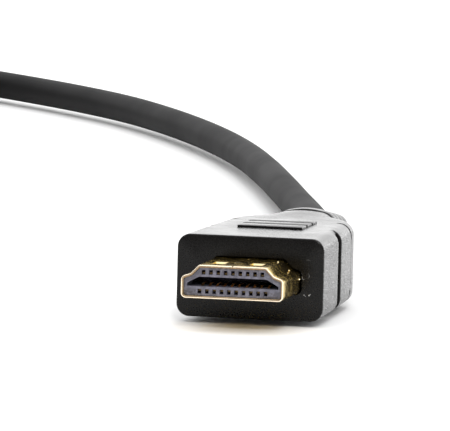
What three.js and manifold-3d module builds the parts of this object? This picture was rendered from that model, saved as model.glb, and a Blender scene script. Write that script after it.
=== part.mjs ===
// HDMI cable, sold length 1.5 m: two moulded plugs on one round lead that is partly wound and tied.
// Millimetres, +Z up. The origin lies on the supporting surface below the middle of the near plug.
// The near plug points along -Y, its strain relief along +Y.
import * as THREE from 'three';
import { mergeVertices } from 'three/addons/utils/BufferGeometryUtils.js';
import Module from 'manifold-3d';

const wasm = await Module();
wasm.setup();

// Driving dimensions: metal shell, across its mating face and back from it
const shellWidth = 13.9;
const shellHeight = 4.45;
const shellWall = 0.3;
const shellOut = 11.6;
const shellBuried = 8;
const shellLift = 3.75;
const shellTopWidth = 9.2;
const shellSideHeight = 2.85;
const shellShoulderWidth = 11.4;
const shellShoulderHeight = 3.3;
const shellBottomCorner = 0.65;
const shellSideCorner = 0.55;
const shellShoulderCorner = 0.7;
const shellTopCorner = 0.35;
const latchWidth = 1.7;
const latchLength = 2.2;
const latchSpacing = 5.1;
const latchSetback = 2.6;

// Driving dimensions: insulator with its mating slot and contact holes
const insulatorClearance = 0.05;
const insulatorRecess = 0.45;
const insulatorLength = 17;
const slotBottomWidth = 12.5;
const slotTopWidth = 9.25;
const slotEndHeight = 0.4;
const slotFloor = 1.57;
const slotHeight = 1.3;
const slotDepth = 9;
const contactPitch = 1;
const upperContacts = 9;
const lowerContacts = 10;
const holeWidth = 0.52;
const holeHeight = 0.62;
const upperHoleHeight = 3.5;
const lowerHoleHeight = 0.92;
const holeDepth = 12;
const frontWeb = 1.1;
const contactWidth = 0.36;
const contactThickness = 0.2;
const contactSetback = 0.3;
const contactRise = 0.22;
const contactSlack = 0.06;
const contactTipLength = 1.0;
const contactSlope = 1.4;
const contactBowLength = 1.8;
const contactTailSlope = 3.3;

// Driving dimensions: moulded grip and strain relief
const gripWidth = 20.2;
const gripHeight = 11.2;
const gripCorner = 1.75;
const gripLength = 36;
const waistSetback = 26;
const waistWidth = 18;
const waistCurve = 1.5;
const neckWidth = 8.8;
const wideGrooveSetback = 11.7;
const wideGrooveWidth = 2.7;
const wideGrooveDepth = 0.6;
const wideGrooveCorner = 1;
const fineGrooveSetback = 23.4;
const fineGrooveWidth = 0.5;
const fineGrooveDepth = 0.05;
const fineGrooveCorner = 2.8;
const thumbBars = 3;
const thumbBarSetback = 12.3;
const thumbBarPitch = 3.6;
const thumbBarGap = 0.5;
const thumbBarLength = 9.1;
const thumbBarHeight = 0.3;
const thumbBarSunk = 1;
const reliefLength = 14;
const reliefRootHeight = 11;
const reliefRootCorner = 2.2;
const reliefTipWidth = 7.6;
const reliefTipHeight = 8.6;
const reliefTipCorner = 2;
const reliefCrown = 1;
const reliefCrownShare = 0.45;
const reliefRings = 4;
const reliefRingWidth = 2.2;
const reliefRingDepth = 0.45;
const reliefTipGap = 0.5;
const reliefSunk = 3;
const reliefOverlap = 0.1;
const pocketClearance = 0.3;

// Driving dimensions: lead, coil and tie
const cableDiameter = 5;
const cableSides = 12;
const cableStepDiameters = 2.5;
const coilMeanRadius = 30;
const coilTurnsAcross = 3.64;
const coilLayers = 2;
const coilSegments = 48;
const coilX = -169;
const coilY = 331.2;
const tailRun = 55.8;
const tieWidth = 6;
const tieThickness = 0.7;
const tieAngle = -90;
const pieceGap = 0.3;

// How far a cutting solid runs past what it cuts
const cutMargin = 1;
const sliver = 0.001;

// Worked out from the driving dimensions
const overmouldLength = gripLength + reliefLength;
const plugLength = shellOut + overmouldLength;
const rimY = -plugLength / 2;
const faceY = rimY + shellOut;
const reliefEndY = rimY + plugLength;
const plugMiddle = gripHeight / 2;
const cableRadius = cableDiameter / 2;
const coilHalfWidth = coilTurnsAcross * cableDiameter / 2;
const coilInner = coilMeanRadius - coilHalfWidth;
const coilOuter = coilMeanRadius + coilHalfWidth;
const coilLift = tieThickness + pieceGap;
const coilHeight = coilLayers * cableDiameter;
const tailX = coilX - coilOuter + cableRadius;
const farPlugShift = new THREE.Vector3(tailX, coilY - tailRun - reliefEndY, 0);

// Colours, roughness and metalness
const moulding = new THREE.MeshStandardMaterial({ color: 0x1c1b1b, roughness: 0.5, metalness: 0 });
const jacket = new THREE.MeshStandardMaterial({ color: 0x242424, roughness: 0.6, metalness: 0 });
const gilding = new THREE.MeshStandardMaterial({ color: 0xb8923f, roughness: 0.3, metalness: 1 });
const insulation = new THREE.MeshStandardMaterial({ color: 0x77747f, roughness: 0.55, metalness: 0 });
const copper = new THREE.MeshStandardMaterial({ color: 0xc08a4a, roughness: 0.35, metalness: 1 });
const strapping = new THREE.MeshStandardMaterial({ color: 0x161616, roughness: 0.8, metalness: 0 });

// Outlines

// A corner is [x, z, rounding radius]; the outline keeps each corner's order and rounds it with an arc.
function roundedOutline(corners, steps = 4) {
  const points = [];
  corners.forEach(([x, z, radius], i) => {
    const corner = new THREE.Vector2(x, z);
    const before = corners[(i + corners.length - 1) % corners.length];
    const after = corners[(i + 1) % corners.length];
    const back = new THREE.Vector2(before[0] - x, before[1] - z).normalize();
    const ahead = new THREE.Vector2(after[0] - x, after[1] - z).normalize();
    if (radius <= 0) {
      points.push(corner);
      return;
    }
    const half = Math.acos(THREE.MathUtils.clamp(back.dot(ahead), -1, 1)) / 2;
    const reach = radius / Math.tan(half);
    const middle = back.clone().add(ahead).normalize().multiplyScalar(radius / Math.sin(half)).add(corner);
    const start = back.clone().multiplyScalar(reach).add(corner).sub(middle);
    const end = ahead.clone().multiplyScalar(reach).add(corner).sub(middle);
    const turn = Math.atan2(start.cross(end), start.dot(end));
    for (let k = 0; k <= steps; k += 1) {
      points.push(start.clone().rotateAround(new THREE.Vector2(), turn * k / steps).add(middle));
    }
  });
  return points;
}

// Moves every side of an anticlockwise corner list inwards by the distance, or outwards if it is negative.
function insetCorners(corners, distance) {
  const count = corners.length;
  const sides = corners.map(([x, z], i) => {
    const next = corners[(i + 1) % count];
    const along = new THREE.Vector2(next[0] - x, next[1] - z).normalize();
    const inwards = new THREE.Vector2(-along.y, along.x);
    return { along, point: new THREE.Vector2(x, z).addScaledVector(inwards, distance) };
  });
  return corners.map((corner, i) => {
    const a = sides[(i + count - 1) % count];
    const b = sides[i];
    const bend = a.along.cross(b.along);
    const travel = b.point.clone().sub(a.point).cross(b.along) / bend;
    const moved = a.point.clone().addScaledVector(a.along, travel);
    const radius = Math.max(corner[2] - Math.sign(bend) * distance, 0.02);
    return [moved.x, moved.y, radius];
  });
}

// The right half of a shape, from the bottom up, becomes the whole anticlockwise corner list.
function mirrored(rightHalf) {
  const leftHalf = rightHalf.map(([x, z, radius]) => [-x, z, radius]).reverse();
  return [...rightHalf, ...leftHalf];
}

function rectangleCorners(width, low, high, radius) {
  return mirrored([[width / 2, low, radius], [width / 2, high, radius]]);
}

// A rectangle whose top rises towards its middle in a wide arc
function crownedCorners(width, low, high, radius, crown) {
  const right = [[width / 2, low, radius], [width / 2, high, radius]];
  const slope = crown / (width / 2);
  const arcRadius = reliefCrownShare * (width / 2) / slope;
  const corners = mirrored(right);
  corners.splice(right.length, 0, [0, high + crown, arcRadius]);
  return corners;
}

const shellCorners = mirrored([
  [shellWidth / 2, 0, shellBottomCorner],
  [shellWidth / 2, shellSideHeight, shellSideCorner],
  [shellShoulderWidth / 2, shellShoulderHeight, shellShoulderCorner],
  [shellTopWidth / 2, shellHeight, shellTopCorner],
]).map(([x, z, radius]) => [x, z + shellLift, radius]);

const slotTop = slotFloor + slotHeight;
const slotCorners = mirrored([
  [slotBottomWidth / 2, slotFloor, 0],
  [slotBottomWidth / 2, slotFloor + slotEndHeight, 0],
  [slotTopWidth / 2, slotTop, 0],
]).map(([x, z, radius]) => [x, z + shellLift, radius]);

// Solids

// Extrudes an outline drawn in X and Z towards +Y, from one Y to another.
function prism(corners, fromY, toY, steps) {
  const shape = new THREE.Shape(roundedOutline(corners, steps));
  const geometry = new THREE.ExtrudeGeometry(shape, { depth: toY - fromY, bevelEnabled: false });
  geometry.rotateX(Math.PI / 2);
  geometry.translate(0, toY, 0);
  return geometry;
}

function block(width, length, height, x, y, z) {
  const geometry = new THREE.BoxGeometry(width, length, height);
  geometry.translate(x, y, z);
  return geometry;
}

function toSolid(geometry) {
  const bare = geometry.clone();
  bare.deleteAttribute('normal');
  bare.deleteAttribute('uv');
  const merged = mergeVertices(bare, 1e-5);
  const mesh = new wasm.Mesh({
    numProp: 3,
    vertProperties: Float32Array.from(merged.attributes.position.array),
    triVerts: Uint32Array.from(merged.index.array),
  });
  return new wasm.Manifold(mesh);
}

function toGeometry(solid) {
  const mesh = solid.getMesh();
  const geometry = new THREE.BufferGeometry();
  geometry.setAttribute('position', new THREE.BufferAttribute(Float32Array.from(mesh.vertProperties), 3));
  geometry.setIndex(Array.from(mesh.triVerts));
  return geometry;
}

function joined(geometries) {
  return geometries.map(toSolid).reduce((whole, piece) => whole.add(piece));
}

function named(name, geometry, material) {
  const mesh = new THREE.Mesh(geometry, material);
  mesh.name = name;
  return mesh;
}

// Plug pieces, all in the near plug's place

// The grip's width at a distance behind its front face, where its sides narrow slowly towards the waist
function gripWidthAt(setback) {
  const share = Math.min(setback / waistSetback, 1);
  return THREE.MathUtils.lerp(gripWidth, waistWidth, share ** waistCurve);
}

// The grip in plan: nearly straight sides down to the waist, then round shoulders down to the neck.
function gripPlan() {
  const right = [[gripWidth / 2, 0]];
  const sideSteps = 4;
  for (let k = 1; k <= sideSteps; k += 1) {
    const setback = waistSetback * k / sideSteps;
    right.push([gripWidthAt(setback) / 2, setback]);
  }
  const shoulderSteps = 8;
  for (let k = 1; k <= shoulderSteps; k += 1) {
    const share = k / shoulderSteps;
    const fall = (1 - Math.cos(Math.PI * share)) / 2;
    const halfWidth = THREE.MathUtils.lerp(waistWidth, neckWidth, fall) / 2;
    right.push([halfWidth, THREE.MathUtils.lerp(waistSetback, gripLength, share)]);
  }
  const left = right.map(([x, y]) => [-x, y]).reverse();
  return [...right, ...left].map(([x, y]) => new THREE.Vector2(x, y + faceY));
}

function gripBlock() {
  const corners = rectangleCorners(gripWidth, 0, gripHeight, gripCorner);
  const section = toSolid(prism(corners, faceY, faceY + gripLength));
  const outline = new THREE.Shape(gripPlan());
  const depth = gripHeight + 2 * cutMargin;
  const plan = new THREE.ExtrudeGeometry(outline, { depth, bevelEnabled: false });
  plan.translate(0, 0, -cutMargin);
  return section.intersect(toSolid(plan));
}

// What a groove cuts away: everything outside a smaller section that shares the grip's top.
function grooveCut(setback, width, depth, corner) {
  const front = faceY + setback;
  const outside = rectangleCorners(gripWidth + 2 * cutMargin, -cutMargin, gripHeight, 0);
  const around = prism(outside, front, front + width);
  const coreWidth = gripWidthAt(setback + width) - 2 * depth;
  const core = rectangleCorners(coreWidth, depth, gripHeight + sliver, corner);
  return toSolid(around).subtract(toSolid(prism(core, front - cutMargin, front + width + cutMargin)));
}

function thumbBarBlocks() {
  const blocks = [];
  const length = thumbBarPitch - thumbBarGap;
  for (let i = 0; i < thumbBars; i += 1) {
    const middleY = faceY + thumbBarSetback + i * thumbBarPitch + length / 2;
    const height = thumbBarHeight + thumbBarSunk;
    blocks.push(block(thumbBarLength, length, height, 0, middleY, gripHeight + thumbBarHeight - height / 2));
  }
  return joined(blocks);
}

// The strain relief: a ringed taper of rounded rectangles, from inside the grip's neck to the lead.
function reliefBody() {
  const rootY = faceY + gripLength;
  const step = reliefLength / reliefRings;
  const sectionAt = (share, grow) => crownedCorners(
    THREE.MathUtils.lerp(neckWidth, reliefTipWidth, share) + 2 * grow,
    plugMiddle - THREE.MathUtils.lerp(reliefRootHeight, reliefTipHeight, share) / 2 - grow,
    plugMiddle + THREE.MathUtils.lerp(reliefRootHeight, reliefTipHeight, share) / 2 + grow,
    THREE.MathUtils.lerp(reliefRootCorner, reliefTipCorner, share) + grow,
    reliefCrown * (1 - share / 2),
  );
  const parts = [];
  for (let i = 0; i < reliefRings; i += 1) {
    const share = i / (reliefRings - 1);
    const from = rootY + i * step;
    const last = i === reliefRings - 1;
    const coreFrom = i === 0 ? from - reliefSunk : from;
    const coreTo = last ? rootY + reliefLength : from + step + reliefOverlap;
    parts.push(prism(sectionAt(share, -reliefRingDepth), coreFrom, coreTo));
    const ringTo = from + step - reliefTipGap;
    parts.push(prism(sectionAt(share, 0), ringTo - reliefRingWidth, ringTo));
  }
  return joined(parts);
}

function overmould() {
  const pocketCorners = insetCorners(shellCorners, -pocketClearance);
  const pocket = prism(pocketCorners, faceY - cutMargin, faceY + shellBuried + pocketClearance);
  return toGeometry(gripBlock()
    .subtract(grooveCut(wideGrooveSetback, wideGrooveWidth, wideGrooveDepth, wideGrooveCorner))
    .subtract(grooveCut(fineGrooveSetback, fineGrooveWidth, fineGrooveDepth, fineGrooveCorner))
    .add(thumbBarBlocks())
    .add(reliefBody())
    .subtract(toSolid(pocket)));
}

function shell() {
  const endY = faceY + shellBuried;
  let solid = toSolid(prism(shellCorners, rimY, endY))
    .subtract(toSolid(prism(insetCorners(shellCorners, shellWall), rimY - cutMargin, endY + cutMargin)));
  for (const side of [-1, 1]) {
    const x = side * latchSpacing / 2;
    const y = rimY + latchSetback + latchLength / 2;
    for (const z of [shellLift, shellLift + shellHeight]) {
      solid = solid.subtract(toSolid(block(latchWidth, latchLength, 4 * shellWall, x, y, z)));
    }
  }
  return toGeometry(solid);
}

const contactRows = [
  { row: 'upper', count: upperContacts, height: shellLift + upperHoleHeight, towardsSlot: -1 },
  { row: 'lower', count: lowerContacts, height: shellLift + lowerHoleHeight, towardsSlot: 1 },
];

function contactX(count, i) {
  return (i - (count - 1) / 2) * contactPitch;
}

function insulator() {
  const frontY = rimY + insulatorRecess;
  const corners = insetCorners(shellCorners, shellWall + insulatorClearance);
  let solid = toSolid(prism(corners, frontY, frontY + insulatorLength))
    .subtract(toSolid(prism(slotCorners, frontY - cutMargin, frontY + slotDepth)));
  const middle = shellLift + slotFloor + slotHeight / 2;
  for (const { count, height, towardsSlot } of contactRows) {
    const channelFar = height - towardsSlot * holeHeight / 2;
    for (let i = 0; i < count; i += 1) {
      const x = contactX(count, i);
      const holeY = frontY + (holeDepth - cutMargin) / 2;
      const hole = block(holeWidth, holeDepth + cutMargin, holeHeight, x, holeY, height);
      const channelLength = slotDepth - frontWeb;
      const channelY = frontY + frontWeb + channelLength / 2;
      const channelHeight = Math.abs(middle - channelFar);
      const channelZ = (middle + channelFar) / 2;
      const channel = block(holeWidth, channelLength, channelHeight, x, channelY, channelZ);
      solid = solid.subtract(toSolid(hole)).subtract(toSolid(channel));
    }
  }
  return toGeometry(solid);
}

// One spring contact: its tip lies in the front hole, and its middle bows into the slot.
function contact(x, height, towardsSlot) {
  const frontY = rimY + insulatorRecess;
  const offset = towardsSlot * (holeHeight / 2 - contactSlack - contactThickness / 2);
  const tip = height + offset;
  const rest = height - offset;
  const slotFace = shellLift + (towardsSlot > 0 ? slotFloor : slotTop);
  const bowed = slotFace + towardsSlot * (contactRise - contactThickness / 2);
  const bowStart = contactSetback + contactTipLength + contactSlope;
  const stations = [
    [contactSetback, tip],
    [bowStart - contactSlope, tip],
    [bowStart, bowed],
    [bowStart + contactBowLength, bowed],
    [bowStart + contactBowLength + contactTailSlope, rest],
    [holeDepth - contactSlack, rest],
  ];
  const near = stations.map(([y, z]) => new THREE.Vector2(y + frontY, z - contactThickness / 2));
  const far = stations.map(([y, z]) => new THREE.Vector2(y + frontY, z + contactThickness / 2)).reverse();
  const profile = new THREE.Shape([...near, ...far]);
  const geometry = new THREE.ExtrudeGeometry(profile, { depth: contactWidth, bevelEnabled: false });
  geometry.rotateX(Math.PI / 2);
  geometry.rotateZ(Math.PI / 2);
  geometry.translate(x - contactWidth / 2, 0, 0);
  return geometry;
}

function plug(prefix) {
  const group = new THREE.Group();
  group.add(named(`${prefix}_overmould`, overmould(), moulding));
  group.add(named(`${prefix}_shell`, shell(), gilding));
  group.add(named(`${prefix}_insulator`, insulator(), insulation));
  for (const { row, count, height, towardsSlot } of contactRows) {
    for (let i = 0; i < count; i += 1) {
      const geometry = contact(contactX(count, i), height, towardsSlot);
      group.add(named(`${prefix}_${row}_contact_${i + 1}`, geometry, copper));
    }
  }
  return group;
}

// Lead, coil and tie

// The lead's route from the near plug: straight out, down to the surface, then a long bend to the left.
const leadRoute = [
  [0, pieceGap, plugMiddle],
  [-0.15, 7, 5.5],
  [-1.1, 14, 5.05],
  [-2.95, 23, 4],
  [-5.5, 33, 3.05],
  [-8.7, 44, 2.55],
  [-12.6, 58, 2.52],
  [-17.2, 74, 2.52],
  [-22, 90, 2.52],
  [-29.2, 114.5, 2.52],
  [-38.8, 146, 2.52],
  [-48.3, 174.5, 2.52],
  [-59.7, 203.5, 2.52],
  [-73.4, 233, 2.52],
  [-88.4, 260, 2.52],
  [-104.2, 282.2, 2.52],
  [-122.8, 304.4, 2.52],
  [-128.9, 311, 2.52],
].map(([x, y, z]) => new THREE.Vector3(x, y + reliefEndY, z));

// The tail's route from the coil's upper layer down to the far plug's strain relief
const tailRoute = [
  [0, -20.8, 8.3],
  [0, -28, 7.7],
  [0, -38, 6.5],
  [0, -48, 5.75],
  [0, pieceGap - tailRun, plugMiddle],
].map(([x, y, z]) => new THREE.Vector3(x + tailX, y + coilY, z));

function cableTube(points) {
  const path = new THREE.CatmullRomCurve3(points, false, 'centripetal');
  const sides = [];
  for (let k = 0; k < cableSides; k += 1) {
    const angle = 2 * Math.PI * k / cableSides;
    sides.push(new THREE.Vector2(Math.cos(angle), Math.sin(angle)).multiplyScalar(cableRadius));
  }
  const steps = Math.ceil(path.getLength() / (cableStepDiameters * cableDiameter));
  const section = new THREE.Shape(sides);
  return new THREE.ExtrudeGeometry(section, { extrudePath: path, steps, bevelEnabled: false });
}

// The wound length's outer shape: one ring with rounded edges, turned about its own upright axis
function coilRing() {
  const bottom = coilLift;
  const top = coilLift + coilHeight;
  const across = coilOuter - coilInner;
  const profile = roundedOutline(
    rectangleCorners(across, bottom, top, cableRadius), 3,
  ).map((point) => new THREE.Vector2(point.x + coilMeanRadius, point.y));
  profile.push(profile[0].clone());
  const geometry = new THREE.LatheGeometry(profile, coilSegments);
  geometry.rotateX(Math.PI / 2);
  geometry.translate(coilX, coilY, 0);
  return geometry;
}

// The tie: a flat band closed round the coil's section
function tieBand() {
  const width = coilOuter - coilInner + 2 * pieceGap;
  const inner = rectangleCorners(width, coilLift - pieceGap, coilLift + coilHeight + pieceGap, cableRadius);
  const band = toSolid(prism(insetCorners(inner, -tieThickness), -tieWidth / 2, tieWidth / 2))
    .subtract(toSolid(prism(inner, -tieWidth, tieWidth)));
  const geometry = toGeometry(band);
  geometry.translate(coilMeanRadius, 0, 0);
  geometry.rotateZ(THREE.MathUtils.degToRad(tieAngle));
  geometry.translate(coilX, coilY, 0);
  return geometry;
}

const farPlug = plug('far_plug');
farPlug.position.copy(farPlugShift);

const cable = new THREE.Group();
cable.add(plug('near_plug'));
cable.add(named('cable_lead', cableTube(leadRoute), jacket));
cable.add(named('cable_coil', coilRing(), jacket));
cable.add(named('cable_tail', cableTube(tailRoute), jacket));
cable.add(named('coil_tie', tieBand(), strapping));
cable.add(farPlug);

export default cable;
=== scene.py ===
"""The look of a black video cable on a pale floor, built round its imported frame. Blender metres, +Z up."""
import math

import bmesh
import bpy
import numpy as np
from mathutils import Matrix, Vector


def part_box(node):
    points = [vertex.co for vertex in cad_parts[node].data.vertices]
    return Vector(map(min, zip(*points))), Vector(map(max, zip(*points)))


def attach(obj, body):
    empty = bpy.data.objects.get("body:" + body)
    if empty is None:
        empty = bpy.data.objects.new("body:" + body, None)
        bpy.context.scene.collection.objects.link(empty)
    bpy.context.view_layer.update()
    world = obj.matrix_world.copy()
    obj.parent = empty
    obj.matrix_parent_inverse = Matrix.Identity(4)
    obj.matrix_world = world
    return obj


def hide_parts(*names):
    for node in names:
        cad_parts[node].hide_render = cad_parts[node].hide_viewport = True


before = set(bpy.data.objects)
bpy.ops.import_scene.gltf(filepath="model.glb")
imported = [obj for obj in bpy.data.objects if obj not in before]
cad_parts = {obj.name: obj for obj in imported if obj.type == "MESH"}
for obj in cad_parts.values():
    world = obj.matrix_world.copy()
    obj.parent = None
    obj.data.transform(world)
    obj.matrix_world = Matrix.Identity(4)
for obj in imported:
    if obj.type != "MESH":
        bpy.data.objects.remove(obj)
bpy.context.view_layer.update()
MM = 0.001
LEAST_RADIUS = 0.02

# Places read from the frame, in millimetres
shell_low, shell_high = (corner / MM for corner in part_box("near_plug_shell"))
grip_low, grip_high = (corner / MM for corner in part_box("near_plug_overmould"))
coil_low, coil_high = (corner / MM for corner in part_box("cable_coil"))
tie_low, tie_high = (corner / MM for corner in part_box("coil_tie"))
far_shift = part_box("far_plug_shell")[0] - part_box("near_plug_shell")[0]
rim_y = shell_low.y
face_y = grip_low.y
relief_end_y = grip_high.y
shell_lift = shell_low.z
shell_height = shell_high.z - shell_low.z
shell_width = shell_high.x - shell_low.x

# Moulded grip and strain relief, in millimetres
GRIP_WIDTH = grip_high.x - grip_low.x
THUMB_BAR_HEIGHT = 0.3
GRIP_HEIGHT = 11.2
GRIP_CORNER = 1.75
GRIP_LENGTH = 36.0
FRONT_EDGE = 0.22
WAIST_SETBACK = 26.0
WAIST_WIDTH = 18.0
WAIST_CURVE = 1.5
NECK_CROWN = 0.55
WIDE_GROOVE = (11.75, 2.7, 0.72)
WIDE_GROOVE_CORNER = 1.0
FINE_GROOVE = (23.4, 0.8, 0.03)
FINE_GROOVE_CORNER = 2.8
GROOVE_EDGE = 0.12
THUMB_BARS = 3
THUMB_BAR_SETBACK = 12.3
THUMB_BAR_PITCH = 3.6
THUMB_BAR_GAP = 0.5
THUMB_BAR_LENGTH = 9.1
RELIEF_RINGS = 4
RELIEF_ROOT = (8.8, 11.0, 2.2)
RELIEF_TIP = (7.6, 8.6, 2.0)
RELIEF_CROWN = 0.88
CROWN_SHARE = 0.45
FLAT = 0.01
RELIEF_RING_WIDTH = 2.2
RELIEF_RING_DEPTH = 0.45
RELIEF_TIP_GAP = 0.5
RELIEF_EDGE = 0.28
RELIEF_FILLET = 0.12
RELIEF_TIP_EDGE = 0.15
POCKET_CLEARANCE = 0.16
POCKET_DEPTH_CLEARANCE = 0.3
POCKET_LIP = 0.05
THUMB_BAR_SUNK = 0.3
THUMB_BAR_CORNER = 0.25
THUMB_BAR_EDGE = 0.07
PLUG_MIDDLE = GRIP_HEIGHT / 2

# Metal shell, in millimetres, with its corners' rounds from the underside up
SHELL_WALL = 0.3
SHELL_TOP_WIDTH = 9.2
SHELL_SIDE_HEIGHT = 2.85
SHELL_SHOULDER = (11.4, 3.3)
SHELL_ROUNDS = (0.65, 0.55, 0.7, 0.35)
SHELL_RIM_EDGE = 0.11
LATCH_SIZE = (1.7, 2.2)
LATCH_SPACING = 5.1
LATCH_SETBACK = 2.9
LATCH_ROUND = 0.2
LATCH_BREAK = (0.1, 0.5)
LATCH_BREAK_SPAN = (-0.26, 0.14)
SEAM_WIDTH = (0.06, 0.26)
SEAM_SPAN = (-0.14, 0.1)
CUT_REACH = 0.6
SEAM_LINE = [(0, -1), (0, 3.0), (-0.75, 3.4), (-0.75, 5.8), (0, 6.2), (0, 10.8)]
SHELL_BEADS = [(4.5, 3.3, 4.47, 0.14), (5.95, 2.9, 3.36, 0.13), (6.98, 0.9, 2.05, 0.13)]

# Marks on the near face, each with its X, Z and radius in millimetres and its strength
FACE_CHIPS = [
    (7.5, 3.6, 0.07, 0.8), (7.68, 3.45, 0.05, 0.6), (8.2, 3.58, 0.08, 1.0), (8.32, 3.72, 0.06, 0.8),
]
FACE_CURLS = [(7.35, 7.35, 0.62, 0.34), (7.6, 6.2, 0.55, 0.3), (7.9, 7.9, 0.35, 0.22)]

# Lead, in millimetres
CABLE_DIAMETER = 5.0
CABLE_SIDES = 28
COIL_CENTRE = (coil_low + coil_high) / 2
COIL_OUTER_LINE = (coil_high.x - coil_low.x) / 2 - CABLE_DIAMETER / 2
COIL_ENTRY_DEGREES = 43.0
COIL_EXIT_DEGREES = 180.0
COIL_WHOLE_TURNS = 5
COIL_STEP = 1.5
COIL_CLIMB = 0.38

# Strap, in millimetres, also the size of its weave's map across and along
STRAP_EDGE = 0.18
STRAP_CLEARANCE = 0.3
FLAP_LENGTH = 11.0
FLAP_SETBACK = 3.2
FLAP_THICKNESS = 0.55
FLAP_LIFT = 0.12
FLAP_TAPER_START = 0.75
FLAP_TAPER = 0.35
FLAP_EDGE = (0.15, 0.08)
FLAP_NARROWER = 0.05
FLAP_SUNK = 0.02
WEAVE_SIZE = (40, 300)

# The lead's route from the near plug, then the tail's route to the far plug, as the frame has them
LEAD_ROUTE = [
    (0, 0.3, PLUG_MIDDLE), (-0.15, 7, 5.5), (-1.1, 14, 5.05), (-2.95, 23, 4), (-5.5, 33, 3.05),
    (-8.7, 44, 2.55), (-12.6, 58, 2.52), (-17.2, 74, 2.52), (-22, 90, 2.52), (-29.2, 114.5, 2.52),
    (-38.8, 146, 2.52), (-48.3, 174.5, 2.52), (-59.7, 203.5, 2.52), (-73.4, 233, 2.52),
    (-88.4, 260, 2.52), (-104.2, 282.2, 2.52), (-122.8, 304.4, 2.52), (-128.9, 311, 2.52),
]
TAIL_ROUTE = [(0, -20.8, 8.3), (0, -28, 7.7), (0, -38, 6.5), (0, -48, 5.75), (0, -55.5, PLUG_MIDDLE)]

# The photograph's view: a long lens, 12 degrees to the right of the plug and 5.4 degrees above it
PHOTO_WIDTH = 450
VIEW_YAW = 12.02
VIEW_PITCH = 5.38
VIEW_ROLL = 1.43
VIEW_DISTANCE = 931.2
VIEW_FOCAL_PIXELS = 7000
VIEW_TARGET = Vector((-1.17, rim_y, 14.99))
SENSOR = 36.0

# Light tent: its brightness and brightest side, and the lamp in front, in metres and watts
REAR_HORIZON = 2.8
ZENITH = 2.1
FRONT_HORIZON = 0.3
REAR_DIRECTION = (0.17, 0.985, 0.0)
FILL_PLACE = (0.25, -0.85, 0.55)
FILL_AIM = (0, 0, 0.005)
FILL_SIZE = 0.1
FILL_POWER = 3.6

# White floor, in millimetres, and how far it lies below the part
FLOOR_HALF = 15000.0
FLOOR_DEPTH = 0.8


def make_camera():
    yaw, pitch, roll = (math.radians(a) for a in (VIEW_YAW, VIEW_PITCH, VIEW_ROLL))
    ahead = Vector((-math.sin(yaw) * math.cos(pitch), math.cos(yaw) * math.cos(pitch), -math.sin(pitch)))
    level = Vector((math.cos(yaw), math.sin(yaw), 0))
    upright = level.cross(ahead)
    right = level * math.cos(roll) + upright * math.sin(roll)
    up = upright * math.cos(roll) - level * math.sin(roll)
    data = bpy.data.cameras.new("photo_camera")
    data.sensor_width = SENSOR
    data.lens = SENSOR * VIEW_FOCAL_PIXELS / PHOTO_WIDTH
    data.clip_start, data.clip_end = 0.01, 100
    camera = bpy.data.objects.new("photo_camera", data)
    bpy.context.scene.collection.objects.link(camera)
    place = (VIEW_TARGET - ahead * VIEW_DISTANCE) * MM
    turn = Matrix((right, up, -ahead)).transposed().to_4x4()
    camera.matrix_world = Matrix.Translation(place) @ turn
    bpy.context.scene.camera = camera


# Shader maths

class Value:
    """A socket of a finish. Sums with it on their left add a Math node."""

    def __init__(self, finish, socket):
        self.finish = finish
        self.socket = socket

    def maths(self, operation, *others):
        values = dict(enumerate((self, *others)))
        return self.finish.add("ShaderNodeMath", values, operation=operation)

    def __add__(self, other):
        return self.maths("ADD", other)

    def __sub__(self, other):
        return self.maths("SUBTRACT", other)

    def __mul__(self, other):
        return self.maths("MULTIPLY", other)


class Finish:
    """The nodes of one procedural material, or of the world."""

    def __init__(self, owner):
        self.material = owner
        owner.use_nodes = True
        self.nodes = owner.node_tree.nodes
        self.nodes.clear()

    def add(self, kind, values=None, output=0, **settings):
        node = self.nodes.new(kind)
        for key, setting in settings.items():
            setattr(node, key, setting)
        for key, value in (values or {}).items():
            if isinstance(value, Value):
                self.material.node_tree.links.new(value.socket, node.inputs[key])
            else:
                node.inputs[key].default_value = value
        return Value(self, node.outputs[output])

    def place(self):
        return self.add("ShaderNodeTexCoord", output="Object")

    def axes(self, vector):
        split = self.add("ShaderNodeSeparateXYZ", {0: vector})
        node = split.socket.node
        return [Value(self, node.outputs[i]) for i in range(3)]

    def noise(self, vector, scale, detail=2.0, roughness=0.5, distortion=0.0):
        values = {"Vector": vector, "Scale": scale, "Detail": detail, "Roughness": roughness}
        values["Distortion"] = distortion
        return self.add("ShaderNodeTexNoise", values, output=0)

    def stretched(self, vector, stretch):
        return self.add("ShaderNodeMapping", {"Vector": vector, "Scale": stretch})

    def between(self, value, low, high, to_low=0.0, to_high=1.0):
        values = {"Value": value, "From Min": low, "From Max": high, "To Min": to_low, "To Max": to_high}
        return self.add("ShaderNodeMapRange", values, interpolation_type="SMOOTHSTEP")

    def mix(self, share, first, second):
        return self.add("ShaderNodeMix", {0: share, 6: first, 7: second}, output=2, data_type="RGBA")

    def bump(self, height, depth, strength):
        return self.add("ShaderNodeBump", {"Height": height, "Distance": depth, "Strength": strength})

    def surface(self, **sockets):
        values = {key.replace("_", " "): value for key, value in sockets.items()}
        shader = self.add("ShaderNodeBsdfPrincipled", values)
        self.add_output(shader)
        return self.material

    def add_output(self, shader):
        out = self.nodes.new("ShaderNodeOutputMaterial")
        self.material.node_tree.links.new(shader.socket, out.inputs["Surface"])


def grey(level):
    return (level, level, level, 1.0)


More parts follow.
